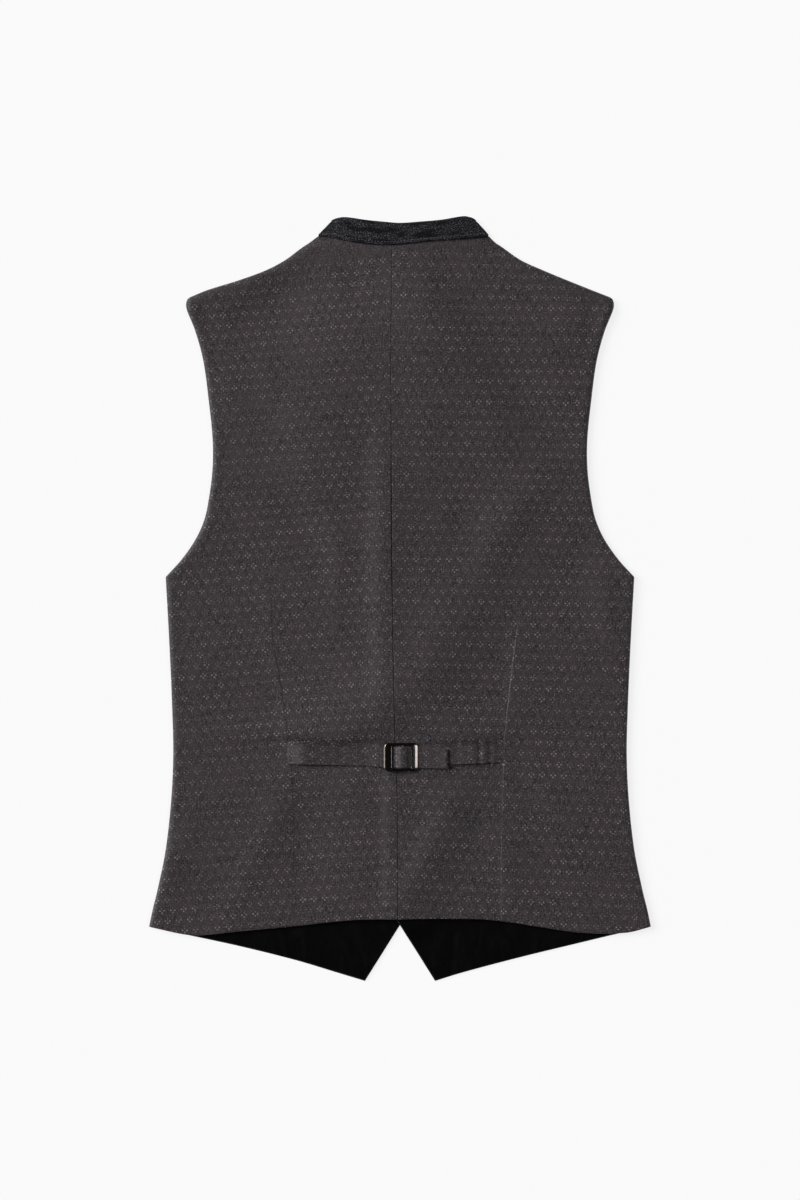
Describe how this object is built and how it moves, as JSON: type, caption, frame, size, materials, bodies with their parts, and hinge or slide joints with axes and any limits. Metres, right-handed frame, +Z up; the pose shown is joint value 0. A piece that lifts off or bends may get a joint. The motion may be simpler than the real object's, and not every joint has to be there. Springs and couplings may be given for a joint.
{
  "type": "men's trachten vest, laid flat on its front",
  "caption": "Sleeveless folk-dress vest laid flat, back uppermost, with a stand collar, pointed fronts and a cinch belt with a slide buckle.",
  "frame": {"origin": "middle of the vest's footprint, on the surface it lies on", "axes": "+Y from the hem to the collar, +X to the wearer's right, +Z up out of the back"},
  "size_m": [0.492, 0.748, 0.0166],
  "materials": {
    "back_jacquard": "dark warm grey jacquard with a soft sheen and a small diamond figure",
    "front_wool": "black wool cloth, matt",
    "black_facing": "black facing with a faint sheen",
    "collar_velvet": "black speckled napped cloth, stitched along its lower edge",
    "buckle_metal": "polished gunmetal",
    "button_horn": "dark horn look, polished"
  },
  "bodies": {
    "root": {"back_left": "back_jacquard", "back_right": "back_jacquard", "front_left": "front_wool", "front_right": "front_wool", "facing_left": "black_facing", "facing_right": "black_facing", "collar": "collar_velvet", "belt_left": "back_jacquard", "belt_right": "back_jacquard", "buckle": "buckle_metal", "button_1": "button_horn", "button_2": "button_horn", "button_3": "button_horn", "button_4": "button_horn", "button_5": "button_horn", "button_6": "button_horn", "button_7": "button_horn", "button_8": "button_horn"}
  },
  "joints": []
}
